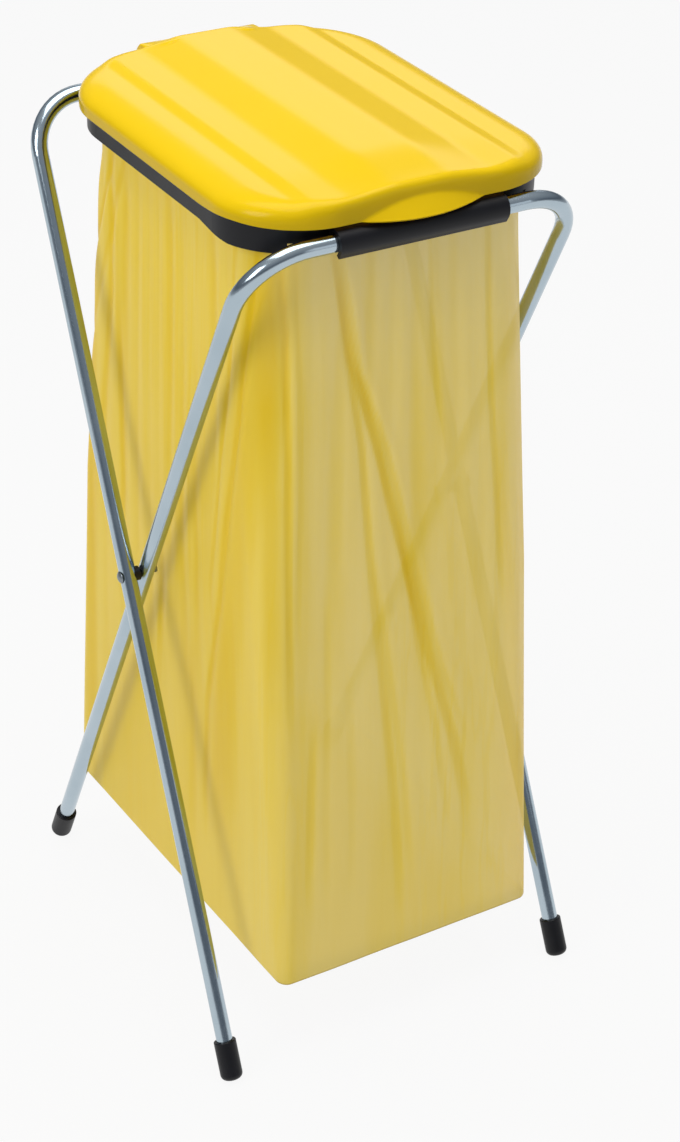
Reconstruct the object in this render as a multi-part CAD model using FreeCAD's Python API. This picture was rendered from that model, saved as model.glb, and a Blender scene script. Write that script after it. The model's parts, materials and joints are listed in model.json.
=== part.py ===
import FreeCAD, Part
import math
import os

# Folding stand for a refuse sack: two crossed U-shaped tubes, a plastic ring that carries the
# sack, and a hinged lid. Millimetres. X runs along the front bar, -Y is the front, Z is up.
# The origin is on the floor, under the middle of the stand.

V = FreeCAD.Vector
ALONG_X = V(1, 0, 0)
ALONG_Y = V(0, 1, 0)

# Bent tubes
tube_od = 16.0
tube_wall = 1.0
front_bar_y = -192.6
front_bar_z = 855.0
front_bend_radius = 58.0
rear_bar_y = 192.6
rear_bar_rise = 7.0
rear_bar_z = front_bar_z + rear_bar_rise
rear_bar_half = 181.5
bar_side_step = 17.0
front_bar_half = rear_bar_half - bar_side_step
rear_bend_radius = 50.0
foot_reach = 219.7
outer_foot_half = 192.1
foot_side_step = 21.4
inner_foot_half = outer_foot_half - foot_side_step

# Foot caps
cap_od = 22.0
cap_length = 40.0
cap_floor = 4.0
cap_end_round = 6.0
cap_rim_round = 1.0
cap_flat_depth = 0.5

# Pivots between the two tubes
rivet_diameter = 6.0
rivet_running_gap = 0.05
rivet_head_diameter = 12.0
rivet_head_height = 2.6
rivet_tail_diameter = 8.0
rivet_tail_height = 2.0
spacer_diameter = 14.0
side_gap = 0.2

# Rim line, where the lid rests on the ring; it rises a little towards the front
rim_above_front_bar = 12.4
rim_z = front_bar_z + rim_above_front_bar
rim_front_rise = 3.5
rim_rise_start_y = -90.0
rim_rise_end_y = -150.0
lid_seat_gap = 0.3

# Sack ring
ring_half_width = 155.3
ring_front_y = -183.5
ring_rear_y = 184.0
ring_front_corner = 70.0
ring_rear_corner = 75.0
ring_wall = 2.5
ring_side_depth = 15.4
ring_side_bottom_z = rim_z - ring_side_depth
ring_corner_depth = 21.4
ring_corner_bottom_z = rim_z - ring_corner_depth
ring_dip_start_y = -90.0
ring_dip_end_y = -135.0
shelf_depth = 12.8
shelf_bottom_z = rim_z - shelf_depth
shelf_thickness = 2.4
collar_inset = 14.0
collar_wall = 2.4
collar_rise = 8.6
collar_top_z = rim_z + collar_rise
bar_notch_half = 118.0
bar_notch_rise = 2.2
bar_notch_z = front_bar_z + bar_notch_rise

# Clip that drops over the front bar
clip_half_length = 83.0
clip_wall = 4.0
clip_gap = 0.3
clip_exit_deg = 31.0
clip_lip_length = 6.0
clip_clearance = 0.8

# Hinge knuckles on the rear bar
knuckle_wall = 3.4
knuckle_gap = 0.08
knuckle_mouth_deg = 100.0
ring_knuckle_inner_x = 66.0
ring_knuckle_outer_x = 92.0
knuckle_clearance = 0.7

# Lid
lid_half_width = 157.5
lid_front_y = -197.0
lid_rear_y = 206.0
lid_front_corner = 80.0
lid_rear_corner = 88.0
lid_headroom = 16.0
lid_top_z = collar_top_z + lid_headroom
lid_wall = 2.5
lid_upright = 4.0
lid_side_round = 30.0
lid_front_round = 9.0
lid_rear_round = 16.0
lid_layers = 8
rear_rim_clearance = 3.0
rear_rim_z = rear_bar_z + tube_od / 2 + rear_rim_clearance
rear_rim_start_y = 158.0
side_step_outer_x = 116.0
side_step_inner_x = 98.0
side_step_height = 2.4
band_outer_x = 68.0
band_inner_x = 34.0
band_height = 6.0
bar_clearance = 0.5
ridge_full_y = -120.0
ridge_end_y = -184.0
tab_half = 61.0
tab_rear_y = 215.5
tab_bottom_z = rear_bar_z
tab_crown_setback = 8.5
tab_crown_rise = 1.0
tab_edge_setback = 3.0
tab_edge_fall = 2.5
tab_end_fall = 7.0
lid_knuckle_half = 57.0
rib_thickness = 2.4
rib_count = 4
lip_half = 77.0
lip_reach = 10.0
lip_rise = 13.0
lip_drop = 5.0

# Sack, drawn with a thicker wall than film has
sack_wall = 1.2
sack_gap = 0.4
sack_hem_gap = 4.0
sack_hem_z = shelf_bottom_z + shelf_thickness + sack_hem_gap
sack_bottom_z = 95.0
sack_bottom_half = 150.0
sack_bottom_front_y = -215.0
sack_bottom_rear_y = 208.0
sack_bottom_corner = 9.0
sack_waist_z = 480.0
sack_waist_half = 147.0
sack_waist_front_y = -192.0
sack_waist_rear_y = 192.0
sack_waist_corner = 30.0


def cylinder_x(radius, x_low, x_high, y, z):
    return Part.makeCylinder(radius, x_high - x_low, V(x_low, y, z), ALONG_X)


def box(x_low, x_high, y_low, y_high, z_low, z_high):
    return Part.makeBox(x_high - x_low, y_high - y_low, z_high - z_low, V(x_low, y_low, z_low))


def side_prism(points, x_low, x_high):
    """A solid whose side view is the (y, z) polygon, from x_low to x_high."""
    corners = [V(x_low, y, z) for y, z in points]
    face = Part.Face(Part.makePolygon(corners + corners[:1]))
    return face.extrude(V(x_high - x_low, 0, 0))


def outline(half, front, rear, front_corner, rear_corner, z):
    """A rounded rectangle as a wire of four lines and four arcs."""
    edges = []
    turn = math.sqrt(0.5)
    corners = [
        (half - front_corner, front + front_corner, front_corner, 1, -1),
        (half - rear_corner, rear - rear_corner, rear_corner, 1, 1),
        (-half + rear_corner, rear - rear_corner, rear_corner, -1, 1),
        (-half + front_corner, front + front_corner, front_corner, -1, -1),
    ]
    arcs = []
    for x, y, radius, sx, sy in corners:
        side = V(x + sx * radius, y, z)
        end = V(x, y + sy * radius, z)
        middle = V(x + sx * radius * turn, y + sy * radius * turn, z)
        first, last = (end, side) if sx * sy < 0 else (side, end)
        arcs.append((first, middle, last))
    for i, (first, middle, last) in enumerate(arcs):
        edges.append(Part.Arc(first, middle, last).toShape())
        edges.append(Part.LineSegment(last, arcs[(i + 1) % 4][0]).toShape())
    return Part.Wire(edges)


def rim_line_points(offset, rear_y):
    front = lid_front_y - 2 * lip_reach
    return [
        (front, rim_z + rim_front_rise + offset),
        (rim_rise_end_y, rim_z + rim_front_rise + offset),
        (rim_rise_start_y, rim_z + offset),
        (rear_y, rim_z + offset),
    ]


def beside_rim_line(offset, rear_y, far_z):
    """Everything between the rim line and the level far_z, in front of rear_y."""
    points = rim_line_points(offset, rear_y)
    closing = [(rear_y, far_z), (points[0][0], far_z)]
    return side_prism(points + closing, -2 * lid_half_width, 2 * lid_half_width)


def slab(half, front, rear, front_corner, rear_corner, z_low, z_high):
    wire = outline(half, front, rear, front_corner, rear_corner, z_low)
    return Part.Face(wire).extrude(V(0, 0, z_high - z_low))


def leg_lean(bar_y, bar_z, foot_y, foot_z):
    return math.atan2(abs(foot_y - bar_y), bar_z - foot_z)


def cap_end_height(lean):
    """Height of the cap's end centre when its rounded rim is cut flat on the floor."""
    rim = cap_od / 2 - cap_end_round
    lowest = cap_end_round * math.cos(lean) - rim * math.sin(lean) - cap_end_round
    return -lowest - cap_flat_depth


def foot_points(bar_y, bar_z, bar_half, foot_y, foot_half):
    """Corner points of one bent tube: left foot, two bar ends, right foot, at the caps' ends."""
    lean = leg_lean(bar_y, bar_z, foot_y, 0.0)
    foot_z = cap_end_height(lean)
    return [
        V(-foot_half, foot_y, foot_z),
        V(-bar_half, bar_y, bar_z),
        V(bar_half, bar_y, bar_z),
        V(foot_half, foot_y, foot_z),
    ]


inner_points = foot_points(front_bar_y, front_bar_z, front_bar_half, foot_reach, inner_foot_half)
outer_points = foot_points(rear_bar_y, rear_bar_z, rear_bar_half, -foot_reach, outer_foot_half)


def pivot_place():
    """Side view of where the two leg lines cross, and each leg's distance from the middle."""
    inner_foot, inner_bar = inner_points[3], inner_points[2]
    outer_foot, outer_bar = outer_points[3], outer_points[2]
    inner_slope = (inner_foot.y - inner_bar.y) / (inner_foot.z - inner_bar.z)
    outer_slope = (outer_foot.y - outer_bar.y) / (outer_foot.z - outer_bar.z)
    gap = outer_bar.y - inner_bar.y + inner_slope * inner_bar.z - outer_slope * outer_bar.z
    z = gap / (inner_slope - outer_slope)
    y = inner_bar.y + inner_slope * (z - inner_bar.z)
    inner_part = (inner_bar.z - z) / (inner_bar.z - inner_foot.z)
    outer_part = (outer_bar.z - z) / (outer_bar.z - outer_foot.z)
    inner_x = inner_bar.x + inner_part * (inner_foot.x - inner_bar.x)
    outer_x = outer_bar.x + outer_part * (outer_foot.x - outer_bar.x)
    return y, z, inner_x, outer_x


pivot_y, pivot_z, inner_pivot_x, outer_pivot_x = pivot_place()


def bent_path(points, radius):
    """Straight runs joined by tangent arcs of one radius."""
    edges = []
    start = points[0]
    for before, corner, after in zip(points, points[1:], points[2:]):
        back = (before - corner).normalize()
        ahead = (after - corner).normalize()
        half_turn = back.getAngle(ahead) / 2
        reach = radius / math.tan(half_turn)
        enter = corner + back * reach
        leave = corner + ahead * reach
        towards = (back + ahead).normalize()
        centre = corner + towards * (radius / math.sin(half_turn))
        middle = centre - towards * radius
        edges.append(Part.LineSegment(start, enter).toShape())
        edges.append(Part.Arc(enter, middle, leave).toShape())
        start = leave
    edges.append(Part.LineSegment(start, points[-1]).toShape())
    return Part.Wire(edges)


def swept_round(path, start, direction, radius):
    circle = Part.Wire(Part.makeCircle(radius, start, direction))
    return path.makePipeShell([circle], True, True)


def bent_tube(points, bend_radius):
    """A round tube whose two ends stand on the inside floors of the foot caps."""
    first = (points[1] - points[0]).normalize()
    last = (points[2] - points[3]).normalize()
    path_points = [points[0] + first * cap_floor, points[1], points[2], points[3] + last * cap_floor]
    path = bent_path(path_points, bend_radius)
    skin = swept_round(path, path_points[0], first, tube_od / 2)
    bore = swept_round(path, path_points[0], first, tube_od / 2 - tube_wall)
    return skin.cut(bore)


def rivet_hole(radius):
    return cylinder_x(radius, -outer_pivot_x - tube_od, outer_pivot_x + tube_od, pivot_y, pivot_z)


def rear_bar_frame():
    return bent_tube(outer_points, rear_bend_radius).cut(rivet_hole(rivet_diameter / 2))


def front_bar_frame():
    hole = rivet_hole(rivet_diameter / 2 + rivet_running_gap)
    return bent_tube(inner_points, front_bend_radius).cut(hole)


def foot_cap(end, next_point):
    """A cup over the tube's end, with a rounded bottom cut flat where it meets the floor.

    It is made as a front right cap and mirrored to its own corner.
    """
    flip_x = 1 if end.x > 0 else -1
    flip_y = 1 if end.y < 0 else -1
    base = V(flip_x * end.x, flip_y * end.y, end.z)
    axis = (V(flip_x * next_point.x, flip_y * next_point.y, next_point.z) - base).normalize()
    cup = Part.makeCylinder(cap_od / 2, cap_length, base, axis)
    rims = [e for e in cup.Edges if e.Closed]
    rims.sort(key=lambda e: (e.CenterOfMass - base).Length)
    cup = cup.makeFillet(cap_end_round, rims[:1])
    rims = [e for e in cup.Edges if e.Closed]
    rims.sort(key=lambda e: (e.CenterOfMass - base).Length)
    cup = cup.makeFillet(cap_rim_round, rims[-1:])
    bore = Part.makeCylinder(tube_od / 2, cap_length, base + axis * cap_floor, axis)
    reach = cap_length + cap_od
    above = box(base.x - reach, base.x + reach, base.y - reach, base.y + reach, 0, 2 * reach)
    cap = cup.cut(bore).common(above)
    if flip_x < 0:
        cap = cap.mirror(V(0, 0, 0), ALONG_X)
    if flip_y < 0:
        cap = cap.mirror(V(0, 0, 0), ALONG_Y)
    return cap


def outer_leg_rod():
    """Solid rod that fills the right leg of the outer tube."""
    outer_foot, outer_bar = outer_points[3], outer_points[2]
    run = outer_bar - outer_foot
    return Part.makeCylinder(tube_od / 2, run.Length, outer_foot, run)


def rivet(side):
    """Rivet with a domed head outside the outer tube and an upset tail inside the inner tube."""
    head_x = outer_pivot_x + tube_od / 2
    tail_x = inner_pivot_x - tube_od / 2 - side_gap
    shank = cylinder_x(rivet_diameter / 2, tail_x, head_x, pivot_y, pivot_z)
    dome_radius = (rivet_head_diameter ** 2 / 4 + rivet_head_height ** 2) / (2 * rivet_head_height)
    dome_centre = V(head_x + rivet_head_height - dome_radius, pivot_y, pivot_z)
    dome = Part.makeSphere(dome_radius, dome_centre)
    head_end = head_x + 2 * rivet_head_height
    keep = cylinder_x(rivet_head_diameter / 2, head_x, head_end, pivot_y, pivot_z)
    dome = dome.common(keep).cut(outer_leg_rod())
    tail_end = tail_x - rivet_tail_height
    tail = cylinder_x(rivet_tail_diameter / 2, tail_end, tail_x, pivot_y, pivot_z)
    solid = shank.fuse(dome).fuse(tail).removeSplitter()
    return solid if side > 0 else solid.mirror(V(0, 0, 0), ALONG_X)


def pivot_spacer(side):
    """Plastic disc between the tubes, hollowed on its outer side to sit on the outer tube."""
    x_low = inner_pivot_x + tube_od / 2 + side_gap
    disc = cylinder_x(spacer_diameter / 2, x_low, outer_pivot_x, pivot_y, pivot_z)
    hole = rivet_hole(rivet_diameter / 2)
    solid = disc.cut(outer_leg_rod()).cut(hole)
    return solid if side > 0 else solid.mirror(V(0, 0, 0), ALONG_X)


def sector(radius, start_deg, end_deg, x_low, x_high, y, z):
    """Pie-shaped prism about the X direction; 0 degrees points to the rear, 90 degrees up."""
    points = [(y, z)]
    steps = 12
    for i in range(steps + 1):
        angle = math.radians(start_deg + (end_deg - start_deg) * i / steps)
        points.append((y + radius * math.cos(angle), z + radius * math.sin(angle)))
    return side_prism(points, x_low, x_high)


def knuckle(x_low, x_high):
    """C-shaped bearing on the rear bar, open below."""
    inner = tube_od / 2 + knuckle_gap
    outer = inner + knuckle_wall
    ring = cylinder_x(outer, x_low, x_high, rear_bar_y, rear_bar_z)
    ring = ring.cut(cylinder_x(inner, x_low, x_high, rear_bar_y, rear_bar_z))
    half = knuckle_mouth_deg / 2
    mouth = sector(2 * outer, 270 - half, 270 + half, x_low, x_high, rear_bar_y, rear_bar_z)
    return ring.cut(mouth)


def bar_clip():
    """Half sleeve on the front bar, open below and to the rear, with a straight front lip."""
    inner = tube_od / 2 + clip_gap
    outer = inner + clip_wall
    low, high = -clip_half_length, clip_half_length
    sleeve = cylinder_x(outer, low, high, front_bar_y, front_bar_z)
    sleeve = sleeve.cut(cylinder_x(inner, low, high, front_bar_y, front_bar_z))
    open_start = 180 + clip_exit_deg
    open_end = 360 + clip_exit_deg
    mouth = sector(2 * outer, open_start, open_end, low, high, front_bar_y, front_bar_z)
    sleeve = sleeve.cut(mouth)
    tangent = math.radians(open_start)
    way_out = tangent + math.pi / 2
    lip = []
    for radius, run in ((inner, 0), (inner, clip_lip_length), (outer, clip_lip_length), (outer, 0)):
        y = front_bar_y + radius * math.cos(tangent) + run * math.cos(way_out)
        z = front_bar_z + radius * math.sin(tangent) + run * math.sin(way_out)
        lip.append((y, z))
    return sleeve.fuse(side_prism(lip, low, high))


def ring_band():
    """Outer wall of the ring: deeper round the front corners, shallower over the front bar."""
    size = (ring_half_width, ring_front_y, ring_rear_y, ring_front_corner, ring_rear_corner)
    w = ring_wall
    inside = (size[0] - w, size[1] + w, size[2] - w, size[3] - w, size[4] - w)
    highest = rim_z + rim_front_rise
    band = slab(*size, ring_corner_bottom_z, highest)
    band = band.cut(slab(*inside, ring_corner_bottom_z, highest))
    band = band.cut(beside_rim_line(-lid_seat_gap, lid_rear_y, highest + 1))
    below = ring_corner_bottom_z - 1
    beyond = ring_rear_y + 1
    side_cut = [
        (ring_dip_end_y, below),
        (ring_dip_end_y, ring_corner_bottom_z),
        (ring_dip_start_y, ring_side_bottom_z),
        (beyond, ring_side_bottom_z),
        (beyond, below),
    ]
    band = band.cut(side_prism(side_cut, -ring_half_width - 1, ring_half_width + 1))
    notch_rear = ring_front_y + ring_front_corner
    notch = box(-bar_notch_half, bar_notch_half, ring_front_y - 1, notch_rear, below, bar_notch_z)
    return band.cut(notch)


def ring_shelf_and_collar():
    """Flat shelf inside the band, and the collar that the sack's mouth is folded over."""
    size = (ring_half_width, ring_front_y, ring_rear_y, ring_front_corner, ring_rear_corner)

    def inset(amount):
        return (size[0] - amount, size[1] + amount, size[2] - amount, size[3] - amount, size[4] - amount)

    shelf_top = shelf_bottom_z + shelf_thickness
    shelf = slab(*inset(ring_wall / 2), shelf_bottom_z, shelf_top)
    shelf = shelf.cut(slab(*inset(collar_inset), shelf_bottom_z, shelf_top))
    collar = slab(*inset(collar_inset - collar_wall), shelf_bottom_z, collar_top_z)
    collar = collar.cut(slab(*inset(collar_inset), shelf_bottom_z, collar_top_z))
    return shelf, collar


def bag_ring():
    shelf, collar = ring_shelf_and_collar()
    ring = ring_band().fuse([shelf, collar, bar_clip()])
    inner = tube_od / 2 + knuckle_gap
    ring = ring.cut(cylinder_x(inner, -ring_half_width, ring_half_width, rear_bar_y, rear_bar_z))
    lid_room = inner + knuckle_wall + knuckle_clearance
    half = lid_knuckle_half + knuckle_clearance
    ring = ring.cut(cylinder_x(lid_room, -half, half, rear_bar_y, rear_bar_z))
    knuckles = [
        knuckle(-ring_knuckle_outer_x, -ring_knuckle_inner_x),
        knuckle(ring_knuckle_inner_x, ring_knuckle_outer_x),
    ]
    ring = ring.fuse(knuckles)
    bar_room = tube_od / 2 + clip_gap
    ring = ring.cut(cylinder_x(bar_room, -ring_half_width, ring_half_width, front_bar_y, front_bar_z))
    return ring.removeSplitter()


def lid_layer(height_part, shrink, drop, top_z):
    """One level outline of the lid's rounded body; height_part runs from 0 at the shoulder to 1."""
    angle = height_part * math.pi / 2
    tuck = 1 - math.cos(angle)
    side = shrink + lid_side_round * tuck
    front = shrink + lid_front_round * tuck
    rear = shrink + lid_rear_round * tuck
    rise = top_z - rim_z - lid_upright
    z = rim_z + lid_upright + rise * math.sin(angle) - drop
    corner_tuck = (side + front) / 2
    rear_tuck = (side + rear) / 2
    return outline(
        lid_half_width - side,
        lid_front_y + front,
        lid_rear_y - rear,
        lid_front_corner - corner_tuck,
        lid_rear_corner - rear_tuck,
        z,
    )


def lid_body(shrink, drop, top_z):
    """Upright rim below, and a rounded shoulder up to a flat top."""
    w = shrink
    rim = slab(
        lid_half_width - w,
        lid_front_y + w,
        lid_rear_y - w,
        lid_front_corner - w,
        lid_rear_corner - w,
        rim_z - drop,
        rim_z + lid_upright - drop,
    )
    wires = [lid_layer(i / (lid_layers - 1), w, drop, top_z) for i in range(lid_layers)]
    shoulder = Part.makeLoft(wires, True, False)
    return rim.fuse(shoulder)


def ridge(outer_x, inner_x, height, shrink, drop):
    """A raised band along the lid's top that fades out towards the front and rounds off behind."""
    sink = 1.0
    base = lid_top_z - sink - drop
    sections = []
    for y, rise in ((lid_rear_y, height), (ridge_full_y, height), (ridge_end_y, 0.1)):
        foot = outer_x - shrink + (outer_x - inner_x) * sink / height
        top = lid_top_z + rise - drop
        crest = inner_x - shrink
        corners = [(-foot, base), (-crest, top), (crest, top), (foot, base)]
        points = [V(x, y, z) for x, z in corners]
        sections.append(Part.makePolygon(points + points[:1]))
    band = Part.makeLoft(sections, True, True)
    return band.common(lid_body(shrink, drop, lid_top_z + height))


def lid_tab(shrink, drop):
    """Rear cover over the hinge: the raised band's section, levelled out and turned down."""
    band_rise = side_step_height + band_height
    side_rise = band_rise * (band_outer_x - tab_half) / (band_outer_x - band_inner_x)
    rear = tab_rear_y - shrink
    stations = [
        (lid_rear_y - lid_rear_round - 1.0, side_rise, band_rise),
        (rear - tab_crown_setback, tab_crown_rise, tab_crown_rise),
        (rear - tab_edge_setback, -tab_edge_fall, -tab_edge_fall),
        (rear, -tab_end_fall, -tab_end_fall),
    ]
    half = tab_half - shrink
    crest = band_inner_x - shrink
    bottom = tab_bottom_z - drop
    sections = []
    for y, side, middle in stations:
        side_z = lid_top_z + side - drop
        middle_z = lid_top_z + middle - drop
        corners = [
            (-half, bottom),
            (-half, side_z),
            (-crest, middle_z),
            (crest, middle_z),
            (half, side_z),
            (half, bottom),
        ]
        points = [V(x, y, z) for x, z in corners]
        sections.append(Part.makePolygon(points + points[:1]))
    return Part.makeLoft(sections, True, True)


def front_lip(shrink, drop):
    """Finger lip: a lens-shaped bulge of the front wall that slopes up and back to the wall."""
    half = lip_half - 2 * shrink
    wall_y = lid_front_y + shrink
    nose_y = wall_y - lip_reach
    inside_y = wall_y + lid_wall / 2
    low = rim_z + rim_front_rise - lip_drop - drop
    edges = [
        Part.Arc(V(-half, wall_y, low), V(0, nose_y, low), V(half, wall_y, low)).toShape(),
        Part.LineSegment(V(half, wall_y, low), V(half, inside_y, low)).toShape(),
        Part.LineSegment(V(half, inside_y, low), V(-half, inside_y, low)).toShape(),
        Part.LineSegment(V(-half, inside_y, low), V(-half, wall_y, low)).toShape(),
    ]
    return Part.Face(Part.Wire(edges)).extrude(V(0, lip_reach, lip_rise))


def below_lip():
    """Everything under the finger lip's curved lower edge."""
    top = rim_z + rim_front_rise
    bottom = top - 4 * lip_drop
    y = lid_front_y - 2 * lip_reach
    edges = [
        Part.Arc(V(-lip_half, y, top), V(0, y, top - lip_drop), V(lip_half, y, top)).toShape(),
        Part.LineSegment(V(lip_half, y, top), V(lip_half, y, bottom)).toShape(),
        Part.LineSegment(V(lip_half, y, bottom), V(-lip_half, y, bottom)).toShape(),
        Part.LineSegment(V(-lip_half, y, bottom), V(-lip_half, y, top)).toShape(),
    ]
    return Part.Face(Part.Wire(edges)).extrude(V(0, 4 * lip_reach, 0))


def hinge_ribs():
    """Ribs that tie the lid's knuckle to its roof and rear cover."""
    outer = tube_od / 2 + knuckle_gap + knuckle_wall
    roof = lid_top_z - 0.5
    ribs = []
    for i in range(rib_count):
        centre = -lid_knuckle_half + rib_thickness / 2
        centre += i * (2 * lid_knuckle_half - rib_thickness) / (rib_count - 1)
        profile = [
            (rear_bar_y - outer + 1.0, rear_bar_z + 4.0),
            (rear_bar_y - outer + 1.0, roof),
            (tab_rear_y - lid_wall / 2, roof - 6.0),
            (tab_rear_y - lid_wall / 2, rear_bar_z + 4.0),
        ]
        ribs.append(side_prism(profile, centre - rib_thickness / 2, centre + rib_thickness / 2))
    return ribs


def lid_solid(shrink, drop):
    """The lid's filled outer form, or, shrunk and dropped, the hollow under it."""
    band_rise = side_step_height + band_height
    body = lid_body(shrink, drop, lid_top_z)
    return body.fuse([
        ridge(side_step_outer_x, side_step_inner_x, side_step_height, shrink, drop),
        ridge(band_outer_x, band_inner_x, band_rise, shrink, drop),
        lid_tab(shrink, drop),
    ])


def lid():
    """Moulded lid: rounded shell, stepped raised bands, finger lip and hinge cover."""
    w = lid_wall
    outside = lid_solid(0, 0).cut(beside_rim_line(0, rear_rim_start_y, rim_z - 1))
    wall_room = box(-lip_half, lip_half, lid_front_y - 2 * lip_reach, lid_front_y + w, rim_z - w, lid_top_z)
    lip = front_lip(0, 0).cut(below_lip()).common(wall_room)
    shell = outside.fuse(lip).cut(lid_solid(w, w)).cut(front_lip(w, w))
    clip_room = tube_od / 2 + clip_gap + clip_wall + clip_clearance
    half = clip_half_length + clip_clearance
    shell = shell.cut(cylinder_x(clip_room, -half, half, front_bar_y, front_bar_z))
    past = tab_rear_y + 10.0
    for side in (-1, 1):
        near, far = side * tab_half, side * (lid_half_width + 10.0)
        low, high = min(near, far), max(near, far)
        shell = shell.cut(box(low, high, rear_rim_start_y, past, rim_z - 10.0, rear_rim_z))
    bar_room = tube_od / 2 + bar_clearance
    half = tab_half + bar_clearance
    shell = shell.cut(cylinder_x(bar_room, -half, half, rear_bar_y, rear_bar_z))
    shell = shell.fuse([knuckle(-lid_knuckle_half, lid_knuckle_half)] + hinge_ribs())
    inner = tube_od / 2 + knuckle_gap
    shell = shell.cut(cylinder_x(inner, -half, half, rear_bar_y, rear_bar_z))
    return shell.removeSplitter()


def sack_level(t, shrink):
    """Outline of the hanging sack; t is 0 at the collar, 1 at the waist and 2 at the bottom."""
    slack = collar_inset + sack_gap
    top = (
        ring_half_width - slack,
        ring_front_y + slack,
        ring_rear_y - slack,
        ring_front_corner - slack,
        ring_rear_corner - slack,
        shelf_bottom_z,
    )
    waist = (
        sack_waist_half,
        sack_waist_front_y,
        sack_waist_rear_y,
        sack_waist_corner,
        sack_waist_corner,
        sack_waist_z,
    )
    bottom = (
        sack_bottom_half,
        sack_bottom_front_y,
        sack_bottom_rear_y,
        sack_bottom_corner,
        sack_bottom_corner,
        sack_bottom_z,
    )
    half, front, rear, front_corner, rear_corner, z = (top, waist, bottom)[t]
    s = shrink
    return (half - s, front + s, rear - s, front_corner - s, rear_corner - s, z)


def sack():
    """Thin bag hung through the collar, with its mouth folded down outside the collar."""
    w = sack_wall
    outer = Part.makeLoft([outline(*sack_level(t, 0)) for t in (0, 1, 2)], True, True)
    levels = [sack_level(t, w) for t in (0, 1, 2)]
    levels[2] = levels[2][:5] + (sack_bottom_z + w,)
    inner = Part.makeLoft([outline(*level) for level in levels], True, True)
    bag = outer.cut(inner)
    mouth_top = collar_top_z + sack_gap
    neck_outside = sack_level(0, 0)[:5]
    neck_inside = sack_level(0, w)[:5]
    neck = slab(*neck_outside, shelf_bottom_z, mouth_top + w)
    neck = neck.cut(slab(*neck_inside, shelf_bottom_z, mouth_top + w))
    grow = collar_wall + 2 * sack_gap + w
    fold_outside = sack_level(0, -grow)[:5]
    fold = slab(*fold_outside, mouth_top, mouth_top + w)
    fold = fold.cut(slab(*neck_inside, mouth_top, mouth_top + w))
    hem_inside = sack_level(0, -(grow - w))[:5]
    hem = slab(*fold_outside, sack_hem_z, mouth_top + w)
    hem = hem.cut(slab(*hem_inside, sack_hem_z, mouth_top + w))
    return bag.fuse([neck, fold, hem]).removeSplitter()


def build():
    nodes = {
        "rear_bar_frame": rear_bar_frame(),
        "front_bar_frame": front_bar_frame(),
        "foot_cap_front_left": foot_cap(outer_points[0], outer_points[1]),
        "foot_cap_front_right": foot_cap(outer_points[3], outer_points[2]),
        "foot_cap_rear_left": foot_cap(inner_points[0], inner_points[1]),
        "foot_cap_rear_right": foot_cap(inner_points[3], inner_points[2]),
        "pivot_rivet_left": rivet(-1),
        "pivot_rivet_right": rivet(1),
        "pivot_spacer_left": pivot_spacer(-1),
        "pivot_spacer_right": pivot_spacer(1),
        "bag_ring": bag_ring(),
        "lid": lid(),
        "bag": sack(),
    }
    return nodes


def main():
    os.makedirs("parts", exist_ok=True)
    print("pivot y, z, inner x, outer x:", pivot_y, pivot_z, inner_pivot_x, outer_pivot_x)
    total = None
    for name, shape in build().items():
        solids = len(shape.Solids)
        print(name, "solids", solids, "valid", shape.isValid(), "volume", round(shape.Volume, 1))
        shape.exportStep(f"parts/{name}.step")
        total = shape.BoundBox if total is None else total.united(shape.BoundBox)
    print("box", total)


main()
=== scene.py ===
# %% [markdown]
# # A folding sack stand
#
# Two crossed steel tubes carry a black plastic ring, a film sack hangs in the ring, and a yellow lid
# closes it. The construction arrives finished, as a fixed frame with its bodies and joints. This lesson
# gives it its looks: the moulded lid, the creased film, and a finish for every surface.

# %% Load the frame
import json
import math

import bmesh
import bpy
import numpy as np
from mathutils import Matrix, Vector


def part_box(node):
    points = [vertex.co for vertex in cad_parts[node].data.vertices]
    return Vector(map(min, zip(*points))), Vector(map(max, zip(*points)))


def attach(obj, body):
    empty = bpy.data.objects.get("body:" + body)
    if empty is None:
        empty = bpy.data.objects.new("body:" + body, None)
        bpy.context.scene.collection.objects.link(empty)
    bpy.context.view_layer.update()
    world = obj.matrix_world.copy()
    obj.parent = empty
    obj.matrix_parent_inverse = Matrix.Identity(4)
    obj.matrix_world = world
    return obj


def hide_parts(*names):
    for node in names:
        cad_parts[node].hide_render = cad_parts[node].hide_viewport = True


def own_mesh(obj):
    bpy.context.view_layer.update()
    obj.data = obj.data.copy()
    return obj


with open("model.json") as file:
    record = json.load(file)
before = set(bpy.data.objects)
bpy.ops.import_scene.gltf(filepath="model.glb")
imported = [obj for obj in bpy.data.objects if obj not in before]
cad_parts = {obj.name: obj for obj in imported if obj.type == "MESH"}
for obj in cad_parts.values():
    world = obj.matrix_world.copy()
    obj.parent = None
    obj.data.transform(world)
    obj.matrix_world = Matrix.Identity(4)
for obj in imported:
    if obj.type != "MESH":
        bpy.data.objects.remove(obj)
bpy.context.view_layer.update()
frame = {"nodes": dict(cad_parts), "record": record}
MM = 0.001


def node_box(name):
    """Lowest and highest corner of a frame node, in millimetres."""
    low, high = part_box(name)
    return [v / MM for v in low], [v / MM for v in high]


joints = {joint["name"]: joint for joint in frame["record"]["behaviour"]["joints"]}
hinge_y, hinge_z = [v / MM for v in joints["lid_open"]["pos_m"][1:]]
_, lid_high = node_box("lid")
_, ring_high = node_box("bag_ring")
sack_low, sack_high = node_box("bag")
print("hinge line at y", hinge_y, "z", hinge_z)

# %% [markdown]
# ## The camera
#
# The picture was taken from above the front left corner of the stand, from about 2.7 metres away. The
# camera is placed by its position and three turns, and its focal length belongs to an image that is 680
# pixels wide and 1142 high. With the sensor fitted vertically, the lens follows from the image height.

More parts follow.
